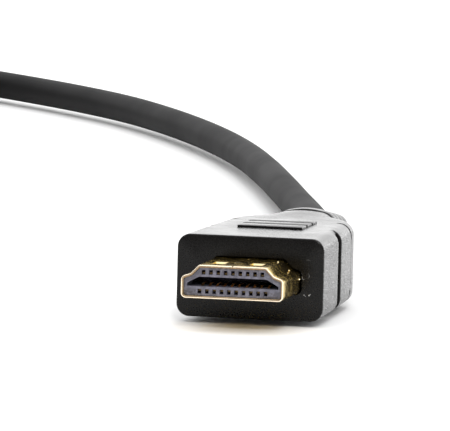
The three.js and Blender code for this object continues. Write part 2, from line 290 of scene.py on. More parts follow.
def moulding_finish():
    """Black vinyl from a spark-textured mould: fine grain, faint cloudiness, and glints on its sides."""
    finish = Finish(bpy.data.materials.new("black_moulding"))
    place = finish.place()
    grain = finish.noise(place, 5200.0, 1.0, 0.5)
    coarse = finish.noise(place, 2300.0, 2.0, 0.55)
    cloud = finish.noise(place, 160.0, 3.0, 0.6)
    colour = finish.mix(cloud, (0.0024, 0.0021, 0.002, 1), (0.0036, 0.0033, 0.0031, 1))
    colour = finish.mix(finish.between(grain, 0.45, 0.75), colour, (0.0075, 0.007, 0.0067, 1))
    roughness = finish.between(cloud, 0.3, 0.7, 0.22, 0.28)
    colour = finish.mix(face_marks(finish, place), colour, grey(0.55))
    normal = finish.add("ShaderNodeNewGeometry", output="Normal")
    beside = finish.between(finish.axes(normal)[0].maths("ABSOLUTE"), 0.6, 0.9)
    relief = grain * 0.8 + coarse * (beside * 4.0 + 0.5)
    glints = finish.noise(finish.stretched(place, (6000.0, 1900.0, 6000.0)), 1.0, 1.0, 0.5)
    return finish.surface(
        Base_Color=colour, Roughness=roughness, Normal=finish.bump(relief, 0.000018, 0.6), IOR=1.275,
        Coat_Weight=finish.between(glints, 0.52, 0.62) * (beside * 0.7 + 0.06), Coat_Roughness=0.3,
        Coat_IOR=1.5,
    )


def face_marks(finish, place):
    """Small chips and faint curly scratches beside the near shell, in its front face only."""
    x, y, z = (axis * (1 / MM) for axis in finish.axes(place))
    ragged = finish.noise(place, 9000.0, 1.0, 0.5) * 0.12
    wobble = finish.noise(place, 1500.0, 2.0, 0.6) * 0.7
    broken = finish.between(finish.noise(place, 900.0, 1.0, 0.5), 0.45, 0.55)

    def reach(across, up, unevenness):
        flat = (x - across) * (x - across) + (z - up) * (z - up)
        return flat.maths("SQRT") + unevenness

    masks = []
    for across, up, radius, strength in FACE_CHIPS:
        chip = finish.between(reach(across, up, ragged), radius + 0.1, radius)
        masks.append(chip * strength)
    for across, up, radius, strength in FACE_CURLS:
        line = (reach(across, up, wobble) - (radius + 0.35)).maths("ABSOLUTE")
        masks.append(finish.between(line, 0.07, 0.02) * broken * strength)
    total = masks[0]
    for mask in masks[1:]:
        total = total.maths("MAXIMUM", mask)
    return total * finish.between(y, face_y + 0.1, face_y + 0.02)


def jacket_finish():
    """Charcoal cable jacket: soft extruded vinyl with drawn lines along it and light handling marks."""
    finish = Finish(bpy.data.materials.new("cable_jacket"))
    uv = finish.add("ShaderNodeTexCoord", output="UV")
    drawn = finish.noise(finish.stretched(uv, (60.0, 14.0, 1.0)), 1.0, 2.0, 0.5)
    place = finish.place()
    grain = finish.noise(place, 2400.0, 2.0, 0.55)
    cloud = finish.noise(place, 45.0, 3.0, 0.6)
    colour = finish.mix(cloud, (0.0115, 0.0113, 0.0117, 1), (0.0165, 0.0163, 0.0168, 1))
    roughness = finish.between(cloud, 0.3, 0.7, 0.56, 0.66)
    relief = drawn * 0.8 + grain * 0.5
    return finish.surface(
        Base_Color=colour, Roughness=roughness, Normal=finish.bump(relief, 0.00003, 0.5),
        Specular_IOR_Level=0.05,
    )


def gilding_finish():
    """Thin gold plating on stamped steel: cream painted highlights on the rim's outer and inner edges with
    painted shade between them, and a painted highlight on faces turned to the front.
    """
    finish = Finish(bpy.data.materials.new("gold_plating"))
    place = finish.place()
    wall = finish.add("ShaderNodeAttribute", attribute_name="wall", output="Vector")
    inward, back, _ = finish.axes(wall)
    mottle = finish.noise(place, 620.0, 4.0, 0.62, 0.6)
    fine = finish.noise(place, 4200.0, 2.0, 0.6)
    colour = finish.mix(finish.between(mottle, 0.35, 0.68), (0.4, 0.27, 0.045, 1), (0.84, 0.6, 0.15, 1))
    colour = finish.mix(finish.between(fine, 0.6, 0.78) * 0.3, colour, (0.4, 0.24, 0.07, 1))
    # Painted highlight and painted shade at the rim: cream bands on its outer and inner edges, a dark brown
    # band between them.
    rim = finish.between(back, 0.34, 0.14)
    edge = finish.mix(finish.between(inward, 0.12, 0.17), (1.0, 0.86, 0.66, 1), (0.26, 0.16, 0.08, 1))
    edge = finish.mix(finish.between(inward, 0.24, 0.29), edge, (0.95, 0.76, 0.5, 1))
    # Painted highlight: faces turned towards the front are coloured cream.
    facing = finish.axes(finish.add("ShaderNodeNewGeometry", output="Normal"))[1]
    front_facing_painted_highlight = finish.between(facing, -0.45, -0.8)
    colour = finish.mix(front_facing_painted_highlight, colour, (1.0, 0.9, 0.66, 1))
    colour = finish.mix(rim, colour, edge)
    roughness = finish.between(mottle, 0.3, 0.7, 0.15, 0.24) + (fine - 0.5) * 0.12
    return finish.surface(
        Base_Color=colour, Metallic=1.0, Roughness=roughness,
        Normal=finish.bump(mottle * 0.3 + fine * 0.8, 0.000022, 0.8),
    )


def insulation_finish():
    """Grey-lavender moulded insulator: matte, a little mottled, and darker in blotches low at its outer
    corners.
    """
    finish = Finish(bpy.data.materials.new("insulator_plastic"))
    place = finish.place()
    mottle = finish.noise(place, 1500.0, 3.0, 0.65)
    grain = finish.noise(place, 7000.0, 2.0, 0.6)
    cloudy = finish.between(mottle, 0.36, 0.66)
    colour = finish.mix(cloudy, (0.085, 0.082, 0.104, 1), (0.17, 0.165, 0.205, 1))
    across, _, up = (axis * (1 / MM) for axis in finish.axes(place))
    # Darker blotches low at the outer corners of its face.
    low = finish.between(up, 5.1, 4.7) * finish.between(across.maths("ABSOLUTE"), 3.8, 4.6)
    dark_low_corner_blotches = low * finish.between(finish.noise(place, 3200.0, 3.0, 0.7), 0.4, 0.6)
    colour = finish.mix(dark_low_corner_blotches * 0.85, colour, (0.05, 0.043, 0.045, 1))
    roughness = finish.between(mottle, 0.3, 0.7, 0.42, 0.6)
    return finish.surface(
        Base_Color=colour, Roughness=roughness, Normal=finish.bump(grain, 0.000008, 0.4), IOR=1.5,
    )


def contact_finish():
    """Gold-plated copper alloy, wiped bright along its length, with painted shade on its end facing the
    front and on its sides.
    """
    finish = Finish(bpy.data.materials.new("contact_metal"))
    place = finish.place()
    wiped = finish.noise(finish.stretched(place, (12000.0, 500.0, 12000.0)), 1.0, 2.0, 0.5)
    sideways, facing, _ = finish.axes(finish.add("ShaderNodeNewGeometry", output="Normal"))
    colour = finish.mix(wiped, (0.9, 0.5, 0.2, 1), (1.0, 0.68, 0.34, 1))
    # Painted shade: faces turned to the front are darkened.
    colour = finish.mix(finish.between(facing, -0.5, -0.85), colour, (0.1, 0.068, 0.03, 1))
    # Painted shade: faces turned sideways are darkened.
    colour = finish.mix(finish.between(sideways.maths("ABSOLUTE"), 0.5, 0.8), colour, (0.09, 0.05, 0.02, 1))
    roughness = finish.between(wiped, 0.3, 0.7, 0.42, 0.55)
    return finish.surface(
        Base_Color=colour, Metallic=1.0, Roughness=roughness, Normal=finish.bump(wiped, 0.000004, 0.4),
    )


def strap_finish():
    """Woven hook-and-loop strap: a plain weave from its own UV map, with a dull sheen."""
    finish = Finish(bpy.data.materials.new("woven_strap"))
    uv = finish.add("ShaderNodeTexCoord", output="UV")
    across, along, _ = finish.axes(uv)
    warp = (across * 2 * math.pi * 26).maths("SINE")
    weft = (along * 2 * math.pi * 150).maths("SINE")
    weave = warp * weft
    fuzz = finish.noise(finish.place(), 3000.0, 3.0, 0.7)
    lit = finish.between(weave + fuzz * 0.8, -0.6, 1.4)
    colour = finish.mix(lit, (0.006, 0.006, 0.0065, 1), (0.03, 0.03, 0.032, 1))
    relief = weave * 0.6 + fuzz * 0.6
    return finish.surface(
        Base_Color=colour, Roughness=finish.between(fuzz, 0.3, 0.7, 0.75, 0.95),
        Normal=finish.bump(relief, 0.00012, 0.7), Sheen_Weight=0.12, Sheen_Roughness=0.5,
    )


# Outlines, drawn in X and Z in millimetres

def rounded_outline(corners, steps=4):
    """Each corner is (x, z, radius). Every corner gives steps + 1 points, so like outlines match."""
    points = []
    count = len(corners)
    for i, (x, z, radius) in enumerate(corners):
        corner = np.array((x, z), float)
        back = np.array(corners[i - 1][:2], float) - corner
        ahead = np.array(corners[(i + 1) % count][:2], float) - corner
        back /= np.linalg.norm(back)
        ahead /= np.linalg.norm(ahead)
        half = math.acos(float(np.clip(back @ ahead, -1, 1))) / 2
        middle = back + ahead
        middle = corner + middle / np.linalg.norm(middle) * radius / math.sin(half)
        start = corner + back * radius / math.tan(half) - middle
        end = corner + ahead * radius / math.tan(half) - middle
        turn = math.atan2(start[0] * end[1] - start[1] * end[0], start @ end)
        for k in range(steps + 1):
            c, s = math.cos(turn * k / steps), math.sin(turn * k / steps)
            points.append(middle + np.array((c * start[0] - s * start[1], s * start[0] + c * start[1])))
    return np.array(points)


def inset(corners, distance):
    """Moves every side of an anticlockwise corner list inwards, or outwards if the distance is negative."""
    count = len(corners)
    sides = []
    for i, (x, z, _) in enumerate(corners):
        following = corners[(i + 1) % count]
        along = np.array((following[0] - x, following[1] - z), float)
        along /= np.linalg.norm(along)
        sides.append((along, np.array((x, z)) + np.array((-along[1], along[0])) * distance))
    moved = []
    for i, corner in enumerate(corners):
        (first, a), (second, b) = sides[i - 1], sides[i]
        bend = first[0] * second[1] - first[1] * second[0]
        gap = b - a
        point = a + first * (gap[0] * second[1] - gap[1] * second[0]) / bend
        radius = corner[2]
        if distance:
            radius = max(radius - math.copysign(distance, bend * distance), LEAST_RADIUS)
        moved.append((point[0], point[1], radius))
    return moved


def mirrored(right_half):
    return [*right_half, *[(-x, z, radius) for x, z, radius in reversed(right_half)]]


def rectangle(width, low, high, radius):
    return mirrored([(width / 2, low, radius), (width / 2, high, radius)])


def crowned(width, low, high, radius, crown):
    """A rounded rectangle whose top rises towards its middle in a wide arc."""
    arc = CROWN_SHARE * (width / 2) ** 2 / crown
    corners = rectangle(width, low, high, radius)
    return [*corners[:2], (0, high + crown, arc), *corners[2:]]


SHELL_CORNERS = [(x, z + shell_lift, radius) for x, z, radius in mirrored([
    (shell_width / 2, 0, SHELL_ROUNDS[0]),
    (shell_width / 2, SHELL_SIDE_HEIGHT, SHELL_ROUNDS[1]),
    (SHELL_SHOULDER[0] / 2, SHELL_SHOULDER[1], SHELL_ROUNDS[2]),
    (SHELL_TOP_WIDTH / 2, shell_height, SHELL_ROUNDS[3]),
])]


# Meshes

def at_depth(outline, y):
    return np.column_stack((outline[:, 0], np.full(len(outline), y), outline[:, 1]))


def bridge(bm, loops, closed=False):
    """Joins matching loops of points with quads and gives back their vertices."""
    rows = [[bm.verts.new(point) for point in loop] for loop in loops]
    pairs = list(zip(rows, rows[1:]))
    if closed:
        pairs.append((rows[-1], rows[0]))
    for near, far in pairs:
        count = len(near)
        for i in range(count):
            j = (i + 1) % count
            bm.faces.new((near[i], near[j], far[j], far[i]))
    return rows


def loop_edges(bm, row):
    return [bm.edges.get((row[i], row[(i + 1) % len(row)])) for i in range(len(row))]


def cap(bm, *rows):
    """Fills a flat face between one loop and any holes in it."""
    edges = [edge for row in rows for edge in loop_edges(bm, row)]
    bmesh.ops.triangle_fill(bm, use_beauty=True, use_dissolve=False, edges=edges)


def to_object(bm, name, sharp=32.0):
    bmesh.ops.recalc_face_normals(bm, faces=bm.faces)
    mesh = bpy.data.meshes.new(name)
    bm.to_mesh(mesh)
    bm.free()
    mesh.transform(Matrix.Scale(MM, 4))
    mesh.shade_smooth()
    mesh.set_sharp_from_angle(angle=math.radians(sharp))
    made = bpy.data.objects.new(name, mesh)
    bpy.context.scene.collection.objects.link(made)
    return made


def settle(made):
    """Turns an object with modifiers into a plain mesh and gives it back."""
    graph = bpy.context.evaluated_depsgraph_get()
    mesh = bpy.data.meshes.new_from_object(made.evaluated_get(graph))
    old = made.data
    made.modifiers.clear()
    made.data = mesh
    bpy.data.meshes.remove(old)
    return made


def cut_away(made, cutters):
    """Cuts closed meshes out of a piece, then removes them."""
    for cutter in cutters:
        difference = made.modifiers.new("cut", "BOOLEAN")
        difference.operation = "DIFFERENCE"
        difference.solver = "EXACT"
        difference.object = cutter
    settle(made)
    for cutter in cutters:
        bpy.data.objects.remove(cutter)
    return made


def paint(made, finish):
    made.data.materials.clear()
    made.data.materials.append(finish)


def moved_copy(made, name, shift):
    copy = made.copy()
    copy.data = made.data.copy()
    copy.data.transform(Matrix.Translation(shift))
    copy.name = name
    bpy.context.scene.collection.objects.link(copy)
    return copy


# The moulded grip with its strain relief

def lerp(a, b, share):
    return a + (b - a) * share


def grip_width_at(setback):
    return lerp(GRIP_WIDTH, WAIST_WIDTH, min(setback / WAIST_SETBACK, 1) ** WAIST_CURVE)


def groove_stations(start, width, depth, edge):
    """(distance back, depth) pairs along one groove, with rounded edges and small fillets at its floor."""
    turns = [math.radians(30 * k) for k in range(4)]
    down = [(start - edge + edge * math.sin(a), edge * (1 - math.cos(a))) for a in turns]
    floor = [(start + 0.04, depth - edge / 2), (start + edge, depth)]
    inward = [*down, *floor]
    outward = [(2 * start + width - setback, level) for setback, level in reversed(inward)]
    return [*inward, *outward]


def grip_sections():
    """Sections of the grip, front face to neck: (distance back, width, low, high, corner, crown)."""
    sections = []
    for k in range(5):
        a = math.radians(22.5 * k)
        back, shrink = FRONT_EDGE * (1 - math.cos(a)), FRONT_EDGE * (1 - math.sin(a))
        sections.append((
            back, GRIP_WIDTH - 2 * shrink, shrink, GRIP_HEIGHT - shrink, GRIP_CORNER - shrink, FLAT,
        ))
    plain = (0.8, 2.5, 4.5, 6.5, 8.5, 10.8, 15.2, 17.0, 19.0, 21.0, 22.8, 24.8)
    stations = [(setback, 0.0, 0.0) for setback in plain]
    for groove, corner, edge in (
        (WIDE_GROOVE, WIDE_GROOVE_CORNER, GROOVE_EDGE), (FINE_GROOVE, FINE_GROOVE_CORNER, FINE_GROOVE[2]),
    ):
        depth = groove[2]
        for setback, level in groove_stations(*groove, edge):
            stations.append((setback, level, (corner - GRIP_CORNER) * level / depth))
    for setback, depth, rounder in sorted(stations):
        width = grip_width_at(setback) - 2 * depth
        sections.append((setback, width, depth, GRIP_HEIGHT, GRIP_CORNER + rounder, FLAT))
    root_width, root_height, root_corner = RELIEF_ROOT
    shoulder_steps = 16
    for k in range(shoulder_steps + 1):
        share = k / shoulder_steps
        fall = (1 - math.cos(math.pi * share)) / 2
        slim = (GRIP_HEIGHT - root_height) / 2 * fall
        sections.append((
            lerp(WAIST_SETBACK, GRIP_LENGTH, share), lerp(WAIST_WIDTH, root_width, fall), slim,
            GRIP_HEIGHT - slim * (1 - fall), lerp(GRIP_CORNER, root_corner, fall),
            lerp(FLAT, NECK_CROWN, fall),
        ))
    return sections


def relief_sections():
    """Sections of the ringed strain relief, from the neck to its tip."""
    sections = []
    step = (relief_end_y - face_y - GRIP_LENGTH) / RELIEF_RINGS

    def add(back, shrink, share):
        width, height, corner = (lerp(a, b, share) for a, b in zip(RELIEF_ROOT, RELIEF_TIP))
        low = PLUG_MIDDLE - height / 2 + shrink
        crown = RELIEF_CROWN * (1 - share / 2)
        sections.append((back, width - 2 * shrink, low, GRIP_HEIGHT - low, corner - shrink, crown))

    for i in range(RELIEF_RINGS):
        share = i / (RELIEF_RINGS - 1)
        ring_end = GRIP_LENGTH + (i + 1) * step - RELIEF_TIP_GAP
        ring_start = ring_end - RELIEF_RING_WIDTH
        turns = [math.radians(22.5 * k) for k in range(5)]
        rise = [
            (ring_start + RELIEF_EDGE * (1 - math.cos(a)), RELIEF_EDGE * (1 - math.sin(a))) for a in turns
        ]
        fall = [(ring_start + ring_end - back, level) for back, level in reversed(rise)]
        groove_start = GRIP_LENGTH + i * step + 0.05
        profile = [
            (groove_start, RELIEF_RING_DEPTH * 0.9), (groove_start + RELIEF_FILLET, RELIEF_RING_DEPTH),
            (ring_start - RELIEF_FILLET, RELIEF_RING_DEPTH), (ring_start - 0.02, RELIEF_RING_DEPTH * 0.85),
            *rise, *fall,
            (ring_end + 0.02, RELIEF_RING_DEPTH * 0.85), (ring_end + RELIEF_FILLET, RELIEF_RING_DEPTH),
        ]
        for back, shrink in profile:
            add(back, shrink, share)
    length = relief_end_y - face_y
    add(length - RELIEF_TIP_EDGE, RELIEF_RING_DEPTH, 1)
    add(length, RELIEF_RING_DEPTH + RELIEF_TIP_EDGE, 1)
    return sections


def overmould_mesh():
    bm = bmesh.new()
    steps = 8
    loops = [
        at_depth(rounded_outline(crowned(*section), steps), face_y + back)
        for back, *section in [*grip_sections(), *relief_sections()]
    ]
    outside = bridge(bm, loops)
    cap(bm, outside[-1])
    pocket = rounded_outline(inset(SHELL_CORNERS, -POCKET_CLEARANCE), 5)
    lip = rounded_outline(inset(SHELL_CORNERS, -POCKET_CLEARANCE - POCKET_LIP), 5)
    levels = (face_y + POCKET_LIP, shell_high.y + POCKET_DEPTH_CLEARANCE)
    inside = bridge(bm, [at_depth(lip, face_y), *[at_depth(pocket, y) for y in levels]])
    cap(bm, inside[-1])
    cap(bm, outside[0], inside[0])
    return to_object(bm, "near_grip_and_relief", 28.0)


def thumb_bar_tree():
    """Geometry Nodes: one rounded bar, repeated towards the back at a named pitch."""
    tree = bpy.data.node_groups.new("thumb_bar_row", "GeometryNodeTree")
    face = tree.interface
    face.new_socket("Geometry", in_out="OUTPUT", socket_type="NodeSocketGeometry")
    sizes = {"Count": "NodeSocketInt", "Pitch": "NodeSocketFloat", "Length": "NodeSocketFloat"}
    sizes.update({"Width": "NodeSocketFloat", "Height": "NodeSocketFloat", "Corner": "NodeSocketFloat"})
    sizes["Material"] = "NodeSocketMaterial"
    for name, kind in sizes.items():
        face.new_socket(name, in_out="INPUT", socket_type=kind)
    nodes, links = tree.nodes, tree.links
    given = nodes.new("NodeGroupInput").outputs
    out = nodes.new("NodeGroupOutput")
    outline = nodes.new("GeometryNodeCurvePrimitiveQuadrilateral")
    links.new(given["Length"], outline.inputs["Width"])
    links.new(given["Width"], outline.inputs["Height"])
    rounded = nodes.new("GeometryNodeFilletCurve")
    rounded.mode = "POLY"
    rounded.inputs["Count"].default_value = 5
    links.new(given["Corner"], rounded.inputs["Radius"])
    links.new(outline.outputs[0], rounded.inputs[0])
    filled = nodes.new("GeometryNodeFillCurve")
    filled.mode = "NGONS"
    links.new(rounded.outputs[0], filled.inputs[0])
    flipped = nodes.new("GeometryNodeFlipFaces")
    links.new(filled.outputs[0], flipped.inputs[0])
    raised = nodes.new("GeometryNodeExtrudeMesh")
    links.new(filled.outputs[0], raised.inputs[0])
    links.new(given["Height"], raised.inputs["Offset Scale"])
    both = nodes.new("GeometryNodeJoinGeometry")
    links.new(raised.outputs[0], both.inputs[0])
    links.new(flipped.outputs[0], both.inputs[0])
    merged = nodes.new("GeometryNodeMergeByDistance")
    merged.inputs["Distance"].default_value = 1e-6
    links.new(both.outputs[0], merged.inputs[0])
    step = nodes.new("ShaderNodeCombineXYZ")
    links.new(given["Pitch"], step.inputs["Y"])
    line = nodes.new("GeometryNodeMeshLine")
    links.new(given["Count"], line.inputs["Count"])
    links.new(step.outputs[0], line.inputs["Offset"])
    copies = nodes.new("GeometryNodeInstanceOnPoints")
    links.new(line.outputs[0], copies.inputs["Points"])
    links.new(merged.outputs[0], copies.inputs["Instance"])
    real = nodes.new("GeometryNodeRealizeInstances")
    links.new(copies.outputs[0], real.inputs[0])
    finished = nodes.new("GeometryNodeSetMaterial")
    links.new(real.outputs[0], finished.inputs["Geometry"])
    links.new(given["Material"], finished.inputs["Material"])
    links.new(finished.outputs[0], out.inputs[0])
    return tree


def thumb_bars(finish):
    """The three raised bars on top of the grip, sunk a little into it."""
    made = bpy.data.objects.new("thumb_bars", bpy.data.meshes.new("thumb_bars"))
    bpy.context.scene.collection.objects.link(made)
    rows = made.modifiers.new("rows", "NODES")
    rows.node_group = thumb_bar_tree()
    sizes = {
        "Count": THUMB_BARS, "Pitch": THUMB_BAR_PITCH * MM, "Length": THUMB_BAR_LENGTH * MM,
        "Width": (THUMB_BAR_PITCH - THUMB_BAR_GAP) * MM,
        "Height": (THUMB_BAR_HEIGHT + THUMB_BAR_SUNK) * MM,
        "Corner": THUMB_BAR_CORNER * MM, "Material": finish,
    }
    for item in rows.node_group.interface.items_tree:
        if item.in_out == "INPUT":
            rows[item.identifier] = sizes[item.name]
    soften = made.modifiers.new("soften", "BEVEL")
    soften.width = THUMB_BAR_EDGE * MM
    soften.segments = 2
    soften.limit_method = "ANGLE"
    settle(made)
    first = face_y + THUMB_BAR_SETBACK + (THUMB_BAR_PITCH - THUMB_BAR_GAP) / 2
    made.data.transform(Matrix.Translation(Vector((0, first, GRIP_HEIGHT - THUMB_BAR_SUNK)) * MM))
    return made


def join_into(main, *others):
    """Adds the meshes of other objects to a piece and removes them."""
    bm = bmesh.new()
    bm.from_mesh(main.data)
    for other in others:
        bm.from_mesh(other.data)
        bpy.data.objects.remove(other)
    bm.to_mesh(main.data)
    bm.free()
    main.data.shade_smooth()
    main.data.set_sharp_from_angle(angle=math.radians(28))
    return main


# The metal shell

def swept_wall(name, corners, profile, steps, sharp):
    """A closed wall: a profile of (inset, y) points carried round an outline."""
    bm = bmesh.new()
    loops = [at_depth(rounded_outline(inset(corners, shrink), steps), y) for shrink, y in profile]
    bridge(bm, loops, closed=True)
    return to_object(bm, name, sharp)


def cutter(name, levels):
    """A closed solid through outlines in X and Y at rising heights, in millimetres."""
    bm = bmesh.new()
    rows = bridge(bm, [np.column_stack((outline, np.full(len(outline), z))) for outline, z in levels])
    for row in (rows[0], rows[-1]):
        cap(bm, row)
    return to_object(bm, name)


def ribbon(points, width):
    """The outline of a narrow line of even width along an open path in X and Y."""
    path = np.array(points, float)
    ahead = np.gradient(path, axis=0)
    ahead /= np.linalg.norm(ahead, axis=1)[:, None]
    side = np.column_stack((-ahead[:, 1], ahead[:, 0])) * width / 2
    return np.vstack((path - side, (path + side)[::-1]))


def shell_mesh():
    """The stamped shell with its rounded rim, latch holes and seam."""
    turns = [math.radians(30 * k) for k in range(4)]
    outer_rim = [
        (SHELL_RIM_EDGE * (1 - math.cos(a)), rim_y + SHELL_RIM_EDGE * (1 - math.sin(a))) for a in turns
    ]
    inner_rim = [(SHELL_WALL - shrink, y) for shrink, y in reversed(outer_rim)]
    back = shell_high.y
    middles = [rim_y + 2.0, rim_y + 7.5, rim_y + 12.5]
    profile = [(0.0, back), *[(0.0, y) for y in reversed(middles)], *outer_rim, *inner_rim]
    profile += [*[(SHELL_WALL, y) for y in middles], (SHELL_WALL, back)]
    made = swept_wall("near_plug_gold_shell", SHELL_CORNERS, profile, 6, 40.0)
    return cut_away(made, [*latch_cutters(), seam_cutter()])


def latch_cutters():
    """The two holes in the shell's top, with their rear edge broken, and the two in its underside."""
    top = shell_lift + shell_height
    width, length = LATCH_SIZE
    wider, longer = LATCH_BREAK
    below, above = LATCH_BREAK_SPAN
    cutters = []
    for side in (-1, 1):
        middle = np.array((side * LATCH_SPACING / 2, rim_y + LATCH_SETBACK + length / 2))
        hole = rounded_outline(rectangle(width, -length / 2, length / 2, LATCH_ROUND)) + middle
        broken = rectangle(width + wider, -length / 2, length / 2 + longer, LATCH_ROUND)
        broken = rounded_outline(broken) + middle
        upper = [(hole, top - CUT_REACH), (hole, top + below), (broken, top + above)]
        lower = [(hole, shell_lift - CUT_REACH), (hole, shell_lift + CUT_REACH)]
        cutters += [cutter("latch_cut", upper), cutter("latch_cut", lower)]
    return cutters


def seam_cutter():
    """The folded shell's seam, a shallow groove along its top with one tongue."""
    top = shell_lift + shell_height
    seam = np.array(SEAM_LINE) + np.array((0, rim_y))
    levels = [(ribbon(seam, width), top + level) for width, level in zip(SEAM_WIDTH, SEAM_SPAN)]
    return cutter("seam_cut", levels)


def note_wall(made):
    """Gives each point its distance in millimetres from the shell's outside and its rim, for its finish."""
    outline = rounded_outline(SHELL_CORNERS, 6)
    following = np.roll(outline, -1, axis=0)
    points = np.array([vertex.co for vertex in made.data.vertices]) / MM
    flat = points[:, None, (0, 2)]
    along = following - outline
    share = np.clip(((flat - outline) * along).sum(2) / (along * along).sum(1), 0, 1)
    distance = np.linalg.norm(flat - (outline + share[..., None] * along), axis=2).min(1)
    values = np.column_stack((distance, points[:, 1] - rim_y, np.zeros(len(points))))
    wall = made.data.attributes.new("wall", "FLOAT_VECTOR", "POINT")
    wall.data.foreach_set("vector", values.astype(np.float32).ravel())


def shell_nibs():
    """Small beads of plating along the shell's right-hand corners: (x, distance out, z, radius)."""
    bm = bmesh.new()
    for x, out, z, size in SHELL_BEADS:
        place = Matrix.Translation((x, face_y - out, z + shell_lift))
        bmesh.ops.create_icosphere(bm, subdivisions=2, radius=size, matrix=place)
    return to_object(bm, "shell_nibs", 80.0)


# The lead

def smooth_route(points, spacing):
    """A centripetal curve through the points, as the frame's own lead has, with even steps."""
    path = [Vector(p) for p in points]
    path = [2 * path[0] - path[1], *path, 2 * path[-1] - path[-2]]
    made = []
    for a, b, c, d in zip(path, path[1:], path[2:], path[3:]):
        knots = [0.0]
        for start, end in ((a, b), (b, c), (c, d)):
            knots.append(knots[-1] + (end - start).length ** 0.5)
        t0, t1, t2, t3 = knots
        steps = max(int((c - b).length / spacing), 1)
        for k in range(steps):
            t = lerp(t1, t2, k / steps)
            p = a.lerp(b, (t - t0) / (t1 - t0))
            q = b.lerp(c, (t - t1) / (t2 - t1))
            r = c.lerp(d, (t - t2) / (t3 - t2))
            u = p.lerp(q, (t - t0) / (t2 - t0))
            v = q.lerp(r, (t - t1) / (t3 - t1))
            made.append(u.lerp(v, (t - t1) / (t2 - t1)))
    made.append(path[-2].copy())
    return made


def coil_turns():
    """The wound length: in along the lower layer, up at its inner turn, and out along the upper layer."""
    lower = coil_low.z + CABLE_DIAMETER / 2
    upper = coil_high.z - CABLE_DIAMETER / 2
    turns = COIL_WHOLE_TURNS + (COIL_EXIT_DEGREES - COIL_ENTRY_DEGREES) / 360
    climb_start, climb_end = turns / 2 - COIL_CLIMB / 2, turns / 2 + COIL_CLIMB / 2
    count = int(turns * 2 * math.pi * (COIL_OUTER_LINE - CABLE_DIAMETER) / COIL_STEP)
    points = []
    for k in range(count + 1):
        turn = turns * k / count
        radius = COIL_OUTER_LINE - CABLE_DIAMETER * min(turn, turns - turn)
        rise = min(max((turn - climb_start) / (climb_end - climb_start), 0), 1)
        rise = rise * rise * (3 - 2 * rise)
        angle = math.radians(COIL_ENTRY_DEGREES) + 2 * math.pi * turn
        points.append(Vector((
            COIL_CENTRE.x + radius * math.cos(angle), COIL_CENTRE.y + radius * math.sin(angle),
            lerp(lower, upper, rise),
        )))
    return points


def cable_line():
    """The whole centreline of the lead, from strain relief to strain relief, in millimetres."""
    lead = [(x, y + relief_end_y, z) for x, y, z in LEAD_ROUTE]
    coil = coil_turns()
    tail_x = COIL_CENTRE.x - COIL_OUTER_LINE
    tail = [(x + tail_x, y + COIL_CENTRE.y, z) for x, y, z in TAIL_ROUTE]
    last_steps = int((coil[1] - coil[0]).length / COIL_STEP) + 1
    way_in = smooth_route([*lead, *coil[:2]], COIL_STEP)[:-last_steps]
    way_out = smooth_route([*coil[-2:], *tail], COIL_STEP)
    line = [*way_in, *coil[:-2], *way_out]
    spaced = [line[0]]
    for point in line[1:]:
        if (point - spaced[-1]).length > COIL_STEP * 0.5:
            spaced.append(point)
    return np.array(spaced)


def tube(name, line, radius, sides):
    """A round tube along a line, closed at both ends, with a UV map that runs round and along it."""
    ahead = np.gradient(line, axis=0)
    ahead /= np.linalg.norm(ahead, axis=1)[:, None]
    side = np.cross(ahead, (0.0, 0.0, 1.0))
    side /= np.linalg.norm(side, axis=1)[:, None]
    up = np.cross(side, ahead)
    along = np.concatenate(([0.0], np.cumsum(np.linalg.norm(np.diff(line, axis=0), axis=1))))
    bm = bmesh.new()
    angles = [2 * math.pi * k / sides for k in range(sides)]
    loops = [
        [p + radius * (math.cos(a) * s + math.sin(a) * u) for a in angles]
        for p, s, u in zip(line, side, up)
    ]
    rows = bridge(bm, loops)
    uv = bm.loops.layers.uv.new("along")
    where = {vertex: (i, k) for i, row in enumerate(rows) for k, vertex in enumerate(row)}
    for face in bm.faces:
        ks = [where[corner.vert][1] for corner in face.loops]
        wraps = max(ks) - min(ks) > 1
        for corner, k in zip(face.loops, ks):
            i = where[corner.vert][0]
            turned = k + sides if wraps and k == 0 else k
            corner[uv].uv = (turned / sides, along[i] * MM)
    for row in (rows[0], rows[-1]):
        bm.faces.new(row)
    return to_object(bm, name, 60.0)


# The strap

def strap_band(bm, uv, width):
    """The closed band round the coil's section, in its own frame, with the weave's UV map."""
    thickness = (tie_high.z - tie_low.z - (coil_high.z - coil_low.z)) / 2 - STRAP_CLEARANCE
    across = tie_high.y - tie_low.y
    outer = rectangle(across, tie_low.z, tie_high.z, CABLE_DIAMETER / 2 + STRAP_CLEARANCE + thickness)
    turns = [math.radians(45 * k) for k in range(3)]
    start, end = [
        [
            (STRAP_EDGE * (1 - math.sin(a)), sign * (width / 2 - STRAP_EDGE * (1 - math.cos(a))))
            for a in turns
        ]
        for sign in (-1, 1)
    ]
    profile = [*reversed(start), *end]
    profile += [(thickness - shrink, y) for shrink, y in [*reversed(end), *start]]
    loops = [at_depth(rounded_outline(inset(outer, shrink), 6), y) for shrink, y in profile]
    rows = bridge(bm, loops, closed=True)
    outline = rounded_outline(outer, 6)
    steps = np.linalg.norm(np.roll(outline, -1, axis=0) - outline, axis=1)
    along = np.concatenate(([0.0], np.cumsum(steps)))
    where = {vertex: k for row in rows for k, vertex in enumerate(row)}
    for face in bm.faces:
        ks = [where[corner.vert] for corner in face.loops]
        wraps = max(ks) - min(ks) > 1
        for corner, k in zip(face.loops, ks):
            turned = len(outline) if wraps and k == 0 else k
            corner[uv].uv = (corner.vert.co.y / WEAVE_SIZE[0], along[turned] / WEAVE_SIZE[1])


